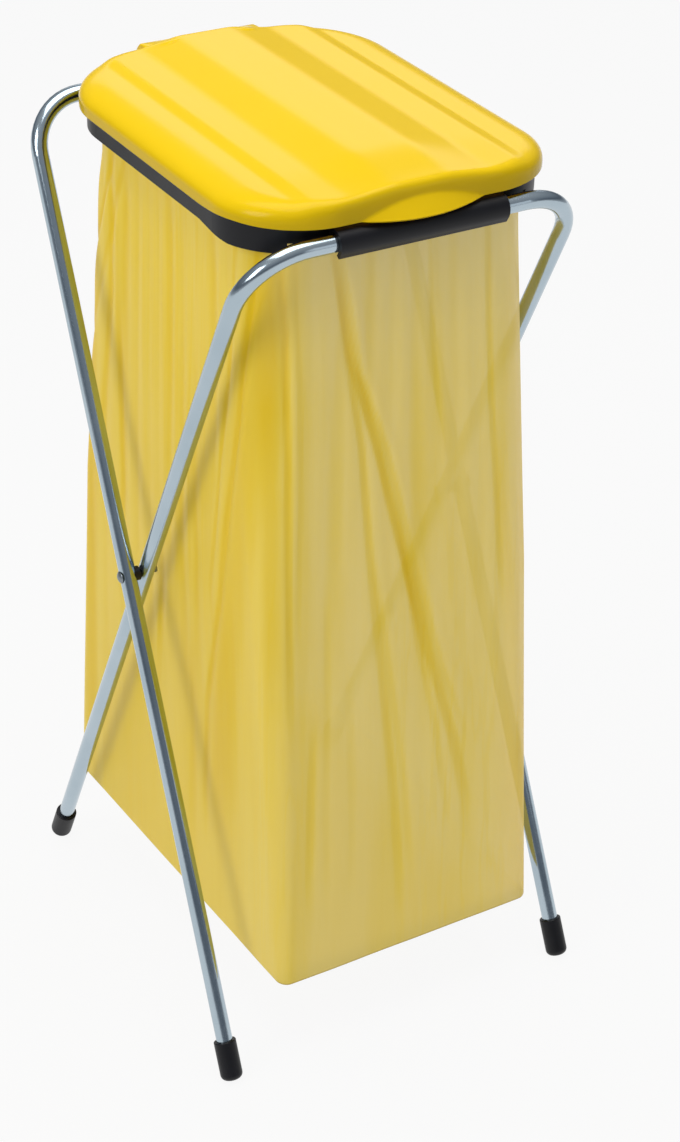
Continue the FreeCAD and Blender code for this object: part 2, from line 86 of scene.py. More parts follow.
# %% Camera
CAMERA_PLACE = (-1.0566, -1.8188, 1.7124)
TURN_RIGHT = math.radians(31.27)
LOOK_DOWN = math.radians(31.78)
ROLL = math.radians(1.57)
IMAGE_HEIGHT = 1142
FOCAL_PIXELS = 2506.69
SENSOR_HEIGHT = 24.0

forward = Vector((
    math.sin(TURN_RIGHT) * math.cos(LOOK_DOWN),
    math.cos(TURN_RIGHT) * math.cos(LOOK_DOWN),
    -math.sin(LOOK_DOWN),
))
level_right = Vector((math.cos(TURN_RIGHT), -math.sin(TURN_RIGHT), 0))
level_up = level_right.cross(forward)
right = level_right * math.cos(ROLL) + level_up * math.sin(ROLL)
up = -level_right * math.sin(ROLL) + level_up * math.cos(ROLL)

camera_data = bpy.data.cameras.new("camera")
camera_data.sensor_fit = "VERTICAL"
camera_data.sensor_height = SENSOR_HEIGHT
camera_data.lens = SENSOR_HEIGHT * FOCAL_PIXELS / IMAGE_HEIGHT
camera = bpy.data.objects.new("camera", camera_data)
bpy.context.scene.collection.objects.link(camera)
turn = Matrix((right, up, -forward)).transposed().to_4x4()
camera.matrix_world = Matrix.Translation(CAMERA_PLACE) @ turn
bpy.context.scene.camera = camera
print("lens", round(camera_data.lens, 2))

# %% [markdown]
# ## Writing shaders as sums
#
# A shader tree is easier to read as arithmetic. The class below wraps a socket, so that `a * b + 1` adds
# the Math nodes by itself. Every other node comes from one method, which takes the node's type, its
# settings and what goes into its sockets.


# %% Shader arithmetic
class Socket:
    """One output of a shader node, with the arithmetic that adds Math nodes."""

    def __init__(self, tree, output):
        self.tree = tree
        self.output = output

    def math(self, operation, other=None, clamp=False):
        inputs = {0: self}
        if other is not None:
            inputs[1] = other
        return self.tree.node("ShaderNodeMath", inputs, operation=operation, use_clamp=clamp)[0]

    def __add__(self, other):
        return self.math("ADD", other)

    def __radd__(self, other):
        return self.math("ADD", other)

    def __sub__(self, other):
        return self.math("SUBTRACT", other)

    def __rsub__(self, other):
        return (self * -1.0) + other

    def __mul__(self, other):
        return self.math("MULTIPLY", other)

    def __rmul__(self, other):
        return self.math("MULTIPLY", other)

    def clamp(self):
        return self.math("ADD", 0.0, clamp=True)

    def maximum(self, other):
        return self.math("MAXIMUM", other)

    def absolute(self):
        return self.math("ABSOLUTE")


# %% Shader trees
class Shader:
    """A material's or world's node tree, emptied, with one method that makes any node."""

    def __init__(self, owner):
        owner.use_nodes = True
        self.nodes = owner.node_tree.nodes
        self.links = owner.node_tree.links
        self.nodes.clear()

    def node(self, kind, inputs=None, **settings):
        made = self.nodes.new(kind)
        for name, value in settings.items():
            if name == "stops":
                self.set_stops(made.color_ramp, value)
            else:
                setattr(made, name, value)
        for key, value in (inputs or {}).items():
            if isinstance(value, Socket):
                self.links.new(value.output, made.inputs[key])
            else:
                made.inputs[key].default_value = value
        return [Socket(self, output) for output in made.outputs]

    def set_stops(self, ramp, stops):
        while len(ramp.elements) > 1:
            ramp.elements.remove(ramp.elements[-1])
        ramp.elements[0].position, ramp.elements[0].color = stops[0]
        for place, colour in stops[1:]:
            ramp.elements.new(place).color = colour

    def place(self):
        return self.node("ShaderNodeTexCoord")[3]

    def scaled(self, vector, scale):
        return self.node("ShaderNodeMapping", {"Vector": vector, "Scale": scale})[0]

    def noise(self, vector, scale, detail=3.0, rough=0.5):
        sizes = {"Vector": vector, "Scale": scale, "Detail": detail, "Roughness": rough}
        return self.node("ShaderNodeTexNoise", sizes)[0]

    def ramp(self, factor, stops):
        return self.node("ShaderNodeValToRGB", {0: factor}, stops=stops)[0]

    def mix(self, factor, first, second):
        inputs = {0: factor, 6: first, 7: second}
        return self.node("ShaderNodeMix", inputs, data_type="RGBA")[2]

    def bump(self, height, strength, distance):
        sizes = {"Height": height, "Strength": strength, "Distance": distance}
        return self.node("ShaderNodeBump", sizes)[0]

    def surface(self, **values):
        inputs = {name.replace("_", " "): value for name, value in values.items()}
        made = self.node("ShaderNodeBsdfPrincipled", inputs)[0]
        self.node("ShaderNodeOutputMaterial", {"Surface": made})


def colour(hex_code, alpha=1.0):
    """A display colour, such as FFCC00, as the linear colour that a shader needs."""
    parts = [int(hex_code[i:i + 2], 16) / 255 for i in (0, 2, 4)]
    linear = [p / 12.92 if p <= 0.04045 else ((p + 0.055) / 1.055) ** 2.4 for p in parts]
    return (*linear, alpha)


def new_material(name):
    material = bpy.data.materials.new(name)
    return material, Shader(material)


# %% [markdown]
# ## Bright zinc on steel tube
#
# The tubes are drawn steel with a bright zinc plating. It mirrors the room, but softly, and the drawing
# leaves faint lines and cloudy patches. Noise on the object's own coordinates changes roughness and
# colour a little, and a finer noise gives a very shallow bump.

# %% Zinc material
zinc, s = new_material("zinc_plated_tube")
place = s.place()
clouds = s.noise(place, 14.0, 4.0)
specks = s.noise(place, 900.0, 2.0)
fine = s.noise(place, 160.0, 3.0)
tint = s.mix(clouds, colour("9FB0BB"), colour("BFCCD5"))
s.surface(
    Base_Color=tint,
    Metallic=1.0,
    Roughness=clouds * 0.10 + fine * 0.06 + 0.09,
    Normal=s.bump(fine * 0.7 + specks * 0.3, 0.06, 0.0004),
)
print("made", zinc.name)

# %% [markdown]
# ## Black moulded plastic
#
# Ring, clip, caps and spacers are black polypropylene with a slight blue cast and a satin skin. The skin
# has a very fine grain, and its gloss is uneven where hands and tubes rub it.

# %% Black plastic material
black_plastic, s = new_material("black_satin_plastic")
place = s.place()
grain = s.noise(place, 700.0, 2.0)
rubbed = s.noise(place, 35.0, 3.0)
s.surface(
    Base_Color=s.mix(rubbed, colour("08090D"), colour("121219")),
    Roughness=rubbed * 0.14 + 0.34,
    Specular_IOR_Level=0.28,
    Normal=s.bump(grain, 0.08, 0.0002),
)
print("made", black_plastic.name)

# %% [markdown]
# ## Yellow moulded plastic
#
# The lid is a glossy-satin yellow. A broad noise moves its hue slightly, as in a thick moulding, and a
# fine grain breaks the highlight.

# %% Yellow plastic material
yellow_plastic, s = new_material("yellow_satin_plastic")
place = s.place()
grain = s.noise(place, 520.0, 2.0)
broad = s.noise(place, 9.0, 2.0)
s.surface(
    Base_Color=s.mix(broad * 0.7 + grain * 0.3, colour("E2BC08"), colour("E9C20F")),
    Roughness=broad * 0.06 + 0.15,
    Specular_IOR_Level=0.12,
    Normal=s.bump(grain, 0.03, 0.0003),
)
print("made", yellow_plastic.name)

# %% [markdown]
# ## Plated rivets
#
# The rivets are plain plated steel, duller than the tubes.

# %% Rivet material
rivet_steel, s = new_material("plated_rivet")
place = s.place()
wear = s.noise(place, 400.0, 3.0)
s.surface(
    Base_Color=s.mix(wear, colour("6E757B"), colour("9BA3A9")),
    Metallic=1.0,
    Roughness=wear * 0.2 + 0.25,
)
print("made", rivet_steel.name)

# %% [markdown]
# ## Sack film
#
# The sack is thin yellow film with a matte skin. Where it lies flat it looks pale and greyed, because
# light passes through it, and where it is folded double the yellow is deeper. Each point of the sack
# carries a value for its folds, so the colour follows them, and the same value paints shade over the whole
# left side. Fine streaks run down the film as they do on blown film. The film is not quite opaque, so the
# tubes behind it show faintly, most of all near its right edge. A darker line along the front of the bottom
# is painted shade. The emission is painted light that stands for the light the film passes on, and high on
# the front it is paler, painted light that lifts the shade under the lid.

# %% Film material
PAINTED_SHADE_Z = 0.0935
PAINTED_SHADE_FRONT_Y = -0.19
CLEARER_FROM_X = 0.10
PAINTED_LIGHT_FROM_Z = 0.70
PAINTED_LIGHT_FRONT_Y = -0.15
film, s = new_material("sack_film")
place = s.place()
crease = s.node("ShaderNodeAttribute", attribute_name="crease")[2]
streaks = s.noise(s.scaled(place, (1.0, 1.0, 0.05)), 60.0, 4.0, 0.6)
broad = s.noise(s.scaled(place, (1.0, 1.0, 0.3)), 8.0, 3.0)
hair = s.noise(s.scaled(place, (1.0, 1.0, 0.035)), 42.0, 3.0, 0.55)
lines = (1.0 - (hair - 0.5).absolute() * 26.0).clamp()
patches = s.noise(s.scaled(place, (1.0, 1.0, 0.4)), 5.0, 2.0)
lines = lines * (patches * 3.0 - 1.2).clamp()
depth = (crease * 0.9 + streaks * 0.30 + broad * 0.30 + lines * 0.22 - 0.25).clamp()
film_colour = s.ramp(depth, [
    (0.0, colour("F5DD7A")),
    (0.3, colour("F1D557")),
    (0.65, colour("EBCA36")),
    (1.0, colour("E6C016")),
])
axes = s.node("ShaderNodeSeparateXYZ", {0: place})
# painted shade: a darker olive line along the front of the bottom edge
painted_shade_line = ((PAINTED_SHADE_Z - axes[2]) * 500.0).clamp() * ((PAINTED_SHADE_FRONT_Y - axes[1]) * 80.0).clamp()
film_colour = s.mix(painted_shade_line * 0.75, film_colour, colour("9C8530"))
wrinkles = s.noise(s.scaled(place, (1.0, 1.0, 0.12)), 130.0, 4.0, 0.55)
clearer = ((axes[0] - CLEARER_FROM_X) * 25.0).clamp()
# the film's emission is painted light for the light it passes on; high on the front it is paler, painted light that
# lifts the shade under the lid
painted_light_high_front = ((axes[2] - PAINTED_LIGHT_FROM_Z) * 6.0).clamp() * ((PAINTED_LIGHT_FRONT_Y - axes[1]) * 60.0).clamp()
s.surface(
    Base_Color=film_colour,
    Roughness=0.46 - streaks * 0.08,
    Alpha=crease * 0.10 + lines * 0.04 + 0.86 - clearer * 0.16,
    Emission_Color=s.mix(painted_light_high_front, film_colour, colour("FFF3C4")),
    Emission_Strength=0.17,
    Specular_IOR_Level=0.3,
    Normal=s.bump(wrinkles * 0.6 + streaks * 0.4, 0.14, 0.0012),
)
print("made", film.name)

# %% [markdown]
# ## Finishes for the frame's own nodes
#
# Tubes, caps, rivets, spacers and the ring already have their true shape, so they only get their finish.

# %% Dress the frame nodes
FINISHES = {
    "rear_bar_frame": zinc,
    "front_bar_frame": zinc,
    "foot_cap_front_left": black_plastic,
    "foot_cap_front_right": black_plastic,
    "foot_cap_rear_left": black_plastic,
    "foot_cap_rear_right": black_plastic,
    "pivot_rivet_left": rivet_steel,
    "pivot_rivet_right": rivet_steel,
    "pivot_spacer_left": black_plastic,
    "pivot_spacer_right": black_plastic,
    "bag_ring": black_plastic,
}
for node, material in FINISHES.items():
    for slot in frame["nodes"][node].material_slots:
        slot.material = material
print("dressed", len(FINISHES), "nodes")

# %% [markdown]
# ## Rings of points
#
# Lid and sack are both rounded rectangles that change with height, so both are built as a stack of level
# outlines, one above the other, joined by faces. One function makes an outline of a fixed number of
# points, spread evenly along its length, and starts it at the middle of the front edge.


# %% Outline and stack helpers
QUARTER = math.pi / 2


def outline_place(size, leg, part):
    """A point of a rounded rectangle. Legs 0, 2, 4 and 6 are the front, right, rear and left runs.

    The odd legs are the corners between them, and part runs from 0 to 1 along a leg.
    """
    half, front, rear, front_corner, rear_corner = size
    corners = [
        (half - front_corner, front + front_corner, front_corner, -QUARTER),
        (half - rear_corner, rear - rear_corner, rear_corner, 0.0),
        (-half + rear_corner, rear - rear_corner, rear_corner, QUARTER),
        (-half + front_corner, front + front_corner, front_corner, 2 * QUARTER),
    ]

    def on_corner(number, share):
        x, y, radius, start = corners[number]
        angle = start + share * QUARTER
        return np.array([x + radius * math.cos(angle), y + radius * math.sin(angle)])

    if leg % 2:
        return on_corner(leg // 2, part)
    start, end = on_corner(leg // 2 - 1, 1.0), on_corner(leg // 2, 0.0)
    return start + (end - start) * part


def rounded_outline(size, count):
    """Evenly spaced points of a rounded rectangle, from the front's middle towards +X."""
    half, front, rear, front_corner, rear_corner = size
    side = rear - rear_corner - front - front_corner
    front_run, rear_run = 2 * (half - front_corner), 2 * (half - rear_corner)
    front_arc, rear_arc = QUARTER * front_corner, QUARTER * rear_corner
    runs = [front_run, front_arc, side, rear_arc, rear_run, rear_arc, side, front_arc]
    marks = np.cumsum([0.0] + runs)
    total = marks[-1]
    points = []
    for distance in (np.arange(count) * total / count + front_run / 2) % total:
        leg = min(int(np.searchsorted(marks, distance, side="right")) - 1, len(runs) - 1)
        points.append(outline_place(size, leg, (distance - marks[leg]) / max(runs[leg], 1e-9)))
    return np.array(points), total


def stack_faces(levels):
    """Joins level rings of points with quads; returns all points and the faces."""
    count = len(levels[0])
    faces = []
    for row in range(len(levels) - 1):
        for i in range(count):
            j = (i + 1) % count
            a, b = row * count, (row + 1) * count
            faces.append((a + i, a + j, b + j, b + i))
    return np.concatenate(levels), faces


# %% Mesh helpers
def new_mesh(name, points, faces):
    mesh = bpy.data.meshes.new(name)
    mesh.from_pydata([tuple(p * MM) for p in points], [], faces)
    mesh.update()
    return mesh


def add_object(name, mesh, material):
    mesh.materials.clear()
    mesh.materials.append(material)
    mesh.shade_smooth()
    made = bpy.data.objects.new(name, mesh)
    bpy.context.scene.collection.objects.link(made)
    return made


def smooth_step(low, high, value):
    t = np.clip((value - low) / (high - low), 0.0, 1.0)
    return t * t * (3 - 2 * t)


def apply_modifiers(piece):
    """Replaces a piece's mesh with what its modifiers make of it."""
    evaluated = piece.evaluated_get(bpy.context.evaluated_depsgraph_get())
    mesh = bpy.data.meshes.new_from_object(evaluated)
    piece.modifiers.clear()
    piece.data = mesh
    return mesh


def face_outwards(mesh):
    shape = bmesh.new()
    shape.from_mesh(mesh)
    bmesh.ops.remove_doubles(shape, verts=shape.verts, dist=0.00002)
    bmesh.ops.recalc_face_normals(shape, faces=shape.faces)
    shape.to_mesh(mesh)
    shape.free()


# %% [markdown]
# ## The lid's top
#
# The lid is one moulding. It has an upright rim, broad round shoulders at the sides, a tight edge in
# front, and raised bands that run from the hinge to the front edge and get lower on the way. Its height
# is a formula: a flat top, plus a step near each side, plus a band in the middle, so a change in one
# number moves every point that it concerns.

# %% Lid sizes
LID_HALF = lid_high[0]
LID_FRONT = -197.0
LID_REAR = 206.0
LID_FRONT_CORNER = 80.0
LID_REAR_CORNER = 88.0
LID_WALL = 2.5
RIM_Z = 867.4
RIM_FRONT_RISE = 3.5
RIM_RISE_Y = (-90.0, -150.0)
RIM_UPRIGHT = 4.0
SIDE_ROUND = 30.0
FRONT_ROUND = 8.0
REAR_ROUND = 16.0
BAND_RISE = 7.0
BAND_FLANK = (68.0, 28.0)
STEP_RISE = 2.6
STEP_FLANK = (114.0, 97.0)
RIDGES_LOW_Y = -200.0
RIDGES_FULL_Y = -120.0
RIDGES_AT_FRONT = 0.55
TOP_Z = lid_high[2] - BAND_RISE - STEP_RISE
LIP_HALF = 60.0
LIP_REACH = 13.0
LIP_CREST = 13.5
LIP_DROP = 1.5


# %% Lid height and outline
def soft_ramp(low, high, value):
    """A straight ramp from 0 to 1 with slightly rounded ends."""
    part = (value - low) / (high - low)
    shifts = (-0.12, -0.06, 0.0, 0.06, 0.12)
    return sum(np.clip(part + shift, 0.0, 1.0) for shift in shifts) / len(shifts)


def lid_ridges(x, y):
    """Height that the steps and the middle band add at a place on the lid."""
    step = STEP_RISE * smooth_step(*STEP_FLANK, np.abs(x))
    band = BAND_RISE * soft_ramp(*BAND_FLANK, np.abs(x))
    full = smooth_step(RIDGES_LOW_Y, RIDGES_FULL_Y, y)
    return (step + band) * (RIDGES_AT_FRONT + (1 - RIDGES_AT_FRONT) * full)


def lid_rim_height(y):
    return RIM_Z + RIM_FRONT_RISE * smooth_step(*RIM_RISE_Y, y)


def lid_size(tuck):
    """The lid's outline, drawn in by a share of each side's rounding; the front turns in late."""
    side, front, rear = SIDE_ROUND * tuck, FRONT_ROUND * tuck ** 1.8, REAR_ROUND * tuck
    front_corner = LID_FRONT_CORNER - (side + front) / 2
    rear_corner = LID_REAR_CORNER - (side + rear) / 2
    return LID_HALF - side, LID_FRONT + front, LID_REAR - rear, front_corner, rear_corner


def with_height(points, z):
    return np.column_stack([points, z])


def push_lip(level):
    """Moves points of the front wall out and down to form the finger lip."""
    x, y, z = level.T.copy()
    lens = np.clip(1 - (x / LIP_HALF) ** 2, 0.0, 1.0) * (y < LID_FRONT + 2 * FRONT_ROUND)
    rim = lid_rim_height(y)
    crest = rim + LIP_CREST * lens
    share = np.where(lens > 0, np.clip((crest - z) / np.maximum(crest - rim, 0.01), 0.0, 1.0), 0.0)
    return np.column_stack([x, y - LIP_REACH * lens * share, z - LIP_DROP * lens * share])


# %% [markdown]
# The flat part of the lid is a grid whose lines run along the raised bands, so that the bands stay clean.
# Its border is the innermost of the rings that form the shoulder and the rim. Each border point knows its
# place as a leg of the outline and a part of that leg, and keeps it in every ring.

# %% Lid border
COLUMNS = 150
ROWS = 84
top_half, _, _, top_front_corner, top_rear_corner = lid_size(1.0)
column_x = top_half * np.sin(np.linspace(-QUARTER, QUARTER, COLUMNS + 1))


def border_place(x, corner, legs):
    """Leg and part of the outline above or below a place x: legs are left corner, run, right corner."""
    run = top_half - corner
    left, middle, right_leg = legs
    angle = math.acos(min(max((abs(x) - run) / corner, 0.0), 1.0)) / QUARTER
    towards_run = 1 - angle if abs(x) > run else 0.0
    if abs(x) <= run:
        part = (x + run) / (2 * run)
        return middle, part if middle == 0 else 1 - part
    if middle == 0:
        return (right_leg, towards_run) if x > 0 else (left, 1 - towards_run)
    return (right_leg, 1 - towards_run) if x > 0 else (left, towards_run)


border = [border_place(x, top_front_corner, (7, 0, 1)) for x in column_x]
border += [(2, j / ROWS) for j in range(1, ROWS)]
border += [border_place(x, top_rear_corner, (5, 4, 3)) for x in column_x[::-1]]
border += [(6, 1 - j / ROWS) for j in range(ROWS - 1, 0, -1)]
print("border points", len(border))


def lid_ring(tuck):
    size = lid_size(tuck)
    return np.array([outline_place(size, leg, part) for leg, part in border])


# %% [markdown]
# The rings come first, from the rim up over the shoulder, and the grid fills the last of them. The wall
# is then given its thickness towards the inside.

# %% Lid skin
RIM_STEPS = 9
SHOULDER_STEPS = 26
rim_ring = lid_ring(0.0)
rim_z = lid_rim_height(rim_ring[:, 1])
shoulder_z = RIM_Z + RIM_FRONT_RISE + RIM_UPRIGHT
levels = []
for i in range(RIM_STEPS):
    levels.append(push_lip(with_height(rim_ring, rim_z + (shoulder_z - rim_z) * i / RIM_STEPS)))
for i in range(SHOULDER_STEPS):
    angle = i / (SHOULDER_STEPS - 1) * QUARTER
    points = lid_ring(1 - math.cos(angle))
    top = TOP_Z + lid_ridges(points[:, 0], points[:, 1])
    levels.append(push_lip(with_height(points, shoulder_z + (top - shoulder_z) * math.sin(angle))))
points, faces = stack_faces(levels)
last_ring = len(points) - len(border)
inner_start = len(points)


def grid_index(i, j):
    """Number of the grid's point in column i and row j; the border points are in the last ring."""
    if j == 0:
        return last_ring + i
    if j == ROWS:
        return last_ring + COLUMNS + ROWS + COLUMNS - i
    if i == COLUMNS:
        return last_ring + COLUMNS + j
    if i == 0:
        return last_ring + 2 * COLUMNS + 2 * ROWS - j
    return inner_start + (i - 1) * (ROWS - 1) + j - 1


inner = []
for i in range(1, COLUMNS):
    low_y, high_y = points[grid_index(i, 0)][1], points[grid_index(i, ROWS)][1]
    for j in range(1, ROWS):
        y = low_y + (high_y - low_y) * j / ROWS
        inner.append((column_x[i], y, TOP_Z + lid_ridges(column_x[i], y)))
points = np.vstack([points, np.array(inner)])
for i in range(COLUMNS):
    for j in range(ROWS):
        around = ((i, j), (i + 1, j), (i + 1, j + 1), (i, j + 1))
        faces.append(tuple(grid_index(*corner) for corner in around))
lid_piece = add_object("lid_moulding", new_mesh("lid_moulding", points, faces), yellow_plastic)
wall = lid_piece.modifiers.new("wall", "SOLIDIFY")
wall.thickness = LID_WALL * MM
wall.offset = -1.0
apply_modifiers(lid_piece)
print("lid faces", len(lid_piece.data.polygons))
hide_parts("lid")
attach(lid_piece, "lid")

# %% [markdown]
# ## The hinge cover and its knuckle
#
# Behind the lid, the middle band runs on over the rear bar and turns down as a cover. Under it a C-shaped
# knuckle grips the bar, and four ribs tie the two together. The cover is a sheet that follows a side
# profile, and the ribs repeat, so a small node tree sets them out along the bar.

# %% Hinge cover
TAB_HALF = 61.0
TAB_REAR = lid_high[1]
TAB_BOTTOM = hinge_z
TAB_ROUND = 2.0
CROWN_Y = 207.0
CROWN_Z = 893.0
FLANK_LOW, FLANK_HIGH = 68.0, 34.0
FLAT_FROM_Y = 188.0
BAND_Z = TOP_Z + STEP_RISE + BAND_RISE
side_profile = [
    (180.0, BAND_Z - 0.6),
    (188.0, BAND_Z - 0.2),
    (194.0, BAND_Z - 2.2),
    (200.0, BAND_Z - 4.7),
    (CROWN_Y - 1.0, CROWN_Z + 0.1),
    (CROWN_Y + 1.5, CROWN_Z - 0.3),
    (212.0, CROWN_Z - 3.4),
    (214.6, CROWN_Z - 6.6),
    (TAB_REAR, CROWN_Z - 10.5),
    (TAB_REAR, CROWN_Z - 20.0),
    (TAB_REAR, TAB_BOTTOM),
]


# %% Hinge cover mesh
def band_drop(x):
    """How far the band's flank lies below its top at a place x, where the band is at full height."""
    return BAND_RISE * smooth_step(FLANK_HIGH, FLANK_LOW, x)


rows = []
for y, z in side_profile:
    row = []
    flat = 1 - smooth_step(FLAT_FROM_Y, CROWN_Y, y)
    for side in (-1, 1):
        half_row = []
        for part in np.linspace(0, 1, 5)[:-1]:
            edge_z = z - band_drop(TAB_HALF) * flat - TAB_ROUND
            half_row.append((side * TAB_HALF, y, TAB_BOTTOM + max(edge_z - TAB_BOTTOM, 0) * part))
        for a in np.linspace(0, QUARTER, 5)[:-1]:
            x = TAB_HALF - TAB_ROUND + TAB_ROUND * math.cos(a)
            drop = band_drop(x) * flat
            half_row.append((side * x, y, max(z - drop - TAB_ROUND * (1 - math.sin(a)), TAB_BOTTOM)))
        for x in np.linspace(TAB_HALF - TAB_ROUND, 3.0, 14):
            half_row.append((side * x, y, max(z - band_drop(x) * flat, TAB_BOTTOM)))
        row.append(half_row)
    rows.append(row[0] + row[1][::-1])
across = len(rows[0])
points = [tuple(v * MM for v in p) for row in rows for p in row]
faces = [
    (r * across + c, r * across + c + 1, (r + 1) * across + c + 1, (r + 1) * across + c)
    for r in range(len(rows) - 1)
    for c in range(across - 1)
]
tab_mesh = bpy.data.meshes.new("hinge_cover")
tab_mesh.from_pydata(points, [], faces)
face_outwards(tab_mesh)
tab_piece = add_object("hinge_cover", tab_mesh, yellow_plastic)
if sum(f.normal.z for f in tab_mesh.polygons) < 0:
    tab_mesh.flip_normals()
wall = tab_piece.modifiers.new("wall", "SOLIDIFY")
wall.thickness = LID_WALL * MM
wall.offset = -1.0
soften = tab_piece.modifiers.new("soften", "SUBSURF")
soften.levels = 1
soften.render_levels = 1
apply_modifiers(tab_piece)
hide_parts("lid")
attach(tab_piece, "lid")
print("cover faces", len(tab_piece.data.polygons))

# %% [markdown]
# The knuckle is a C-shaped profile, extruded along the bar, with its mouth downwards.

# %% Hinge knuckle
KNUCKLE_HALF = 57.0
KNUCKLE_INNER = 8.08
KNUCKLE_WALL = 3.4
KNUCKLE_MOUTH = math.radians(100)


def side_ring(radius, count):
    """Points (y, z) of the C round the rear bar, from one lip of its mouth to the other."""
    start = -QUARTER + KNUCKLE_MOUTH / 2
    angles = np.linspace(start, start + 2 * math.pi - KNUCKLE_MOUTH, count)
    return [(hinge_y + radius * math.cos(a), hinge_z + radius * math.sin(a)) for a in angles]


def extrude_profile(name, profile, low, high):
    """A closed solid whose side view is the profile, from x = low to x = high."""
    count = len(profile)
    points = [(x * MM, y * MM, z * MM) for x in (low, high) for y, z in profile]
    faces = [tuple(range(count))[::-1], tuple(range(count, 2 * count))]
    faces += [(i, (i + 1) % count, (i + 1) % count + count, i + count) for i in range(count)]
    mesh = bpy.data.meshes.new(name)
    mesh.from_pydata(points, [], faces)
    face_outwards(mesh)
    return mesh


c_profile = side_ring(KNUCKLE_INNER, 33) + side_ring(KNUCKLE_INNER + KNUCKLE_WALL, 33)[::-1]
knuckle_mesh = extrude_profile("hinge_knuckle", c_profile, -KNUCKLE_HALF, KNUCKLE_HALF)
knuckle_piece = add_object("hinge_knuckle", knuckle_mesh, yellow_plastic)
knuckle_mesh.shade_flat()
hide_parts("lid")
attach(knuckle_piece, "lid")

# %% [markdown]
# One rib is drawn, and the node tree copies it: the number of ribs and their spacing are its inputs.

# %% One hinge rib
RIB_THICK = 2.4
RIB_COUNT = 4
outer = KNUCKLE_INNER + KNUCKLE_WALL
rib_profile = [
    (hinge_y - outer + 1, hinge_z + 4),
    (hinge_y - outer + 1, TOP_Z - 1),
    (TAB_REAR - 8, TOP_Z - 6),
    (TAB_REAR - 2, TOP_Z - 14),
    (TAB_REAR - 2, hinge_z + 4),
]
rib_mesh = extrude_profile("hinge_rib", rib_profile, -RIB_THICK / 2, RIB_THICK / 2)
rib_source = bpy.data.objects.new("hinge_rib_source", rib_mesh)


# %% A row of copies, set out by nodes
def line_of_copies(name, source, material):
    """A node tree that sets copies of an object in a row along X."""
    tree = bpy.data.node_groups.new(name, "GeometryNodeTree")
    for socket, way, kind in (
        ("Geometry", "OUTPUT", "Geometry"),
        ("Geometry", "INPUT", "Geometry"),
        ("Count", "INPUT", "Int"),
        ("Spacing", "INPUT", "Float"),
    ):
        tree.interface.new_socket(socket, in_out=way, socket_type="NodeSocket" + kind)

    def node(kind, inputs, operation=None):
        """A node with its values set and its links made; a link is given as another node's output."""
        made = tree.nodes.new(kind)
        if operation:
            made.operation = operation
        for key, value in inputs.items():
            if isinstance(value, bpy.types.NodeSocket):
                tree.links.new(value, made.inputs[key])
            else:
                made.inputs[key].default_value = value
        return made.outputs

    given = node("NodeGroupInput", {})
    gaps = node("ShaderNodeMath", {0: given["Count"], 1: 1.0}, "SUBTRACT")[0]
    reach = node("ShaderNodeMath", {0: gaps, 1: given["Spacing"]}, "MULTIPLY")[0]
    half_reach = node("ShaderNodeMath", {0: reach, 1: -0.5}, "MULTIPLY")[0]
    begin = node("ShaderNodeCombineXYZ", {"X": half_reach})[0]
    step = node("ShaderNodeCombineXYZ", {"X": given["Spacing"]})[0]
    line = {"Count": given["Count"], "Start Location": begin, "Offset": step}
    row = node("GeometryNodeMeshLine", line)["Mesh"]
    shape = node("GeometryNodeObjectInfo", {"Object": source})["Geometry"]
    copies = node("GeometryNodeInstanceOnPoints", {"Points": row, "Instance": shape})["Instances"]
    real = node("GeometryNodeRealizeInstances", {"Geometry": copies})["Geometry"]
    painted = node("GeometryNodeSetMaterial", {"Geometry": real, "Material": material})["Geometry"]
    node("NodeGroupOutput", {"Geometry": painted})
    return tree


def set_out(name, tree, values, material):
    """Runs a node tree on an empty mesh and keeps the result as a plain mesh."""
    piece = bpy.data.objects.new(name, bpy.data.meshes.new(name))
    bpy.context.scene.collection.objects.link(piece)
    modifier = piece.modifiers.new("set_out", "NODES")
    modifier.node_group = tree
    items = tree.interface.items_tree
    sockets = {item.name: item.identifier for item in items if item.in_out == "INPUT"}
    for key, value in values.items():
        modifier[sockets[key]] = value
    mesh = apply_modifiers(piece)
    mesh.materials.clear()
    mesh.materials.append(material)
    return piece


# %% Row of hinge ribs
rib_spacing = (2 * KNUCKLE_HALF - RIB_THICK) / (RIB_COUNT - 1)
rib_tree = line_of_copies("row_of_ribs", rib_source, yellow_plastic)
rib_values = {"Count": RIB_COUNT, "Spacing": rib_spacing * MM}
ribs_piece = set_out("hinge_ribs", rib_tree, rib_values, yellow_plastic)
bpy.data.objects.remove(rib_source)
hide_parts("lid")
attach(ribs_piece, "lid")
print("rib faces", len(ribs_piece.data.polygons))

# %% [markdown]
# ## The film sack
#
# The sack is a thin film bag. Its mouth is folded out over the ring's collar, it hangs down inside, and
# its bottom is spread square. Real film never hangs smooth: long creases start where the ring gathers it
# and run down and outwards, and shallow pleats lie between them. The shape starts as a stack of outlines
# at the solid's places, and its bottom hangs a little askew. Each crease is a line on the unrolled film,
# given by the places that it passes, and each point of the film is pressed in by its distance to those
# lines. The mouth is a piece of its own.

# %% Sack levels
SACK_COUNT = 560
COLLAR_TOP = ring_high[2]
MOUTH_TOP = sack_high[2]
HEM_BOTTOM = 861.0
SHELF_BOTTOM = 854.6
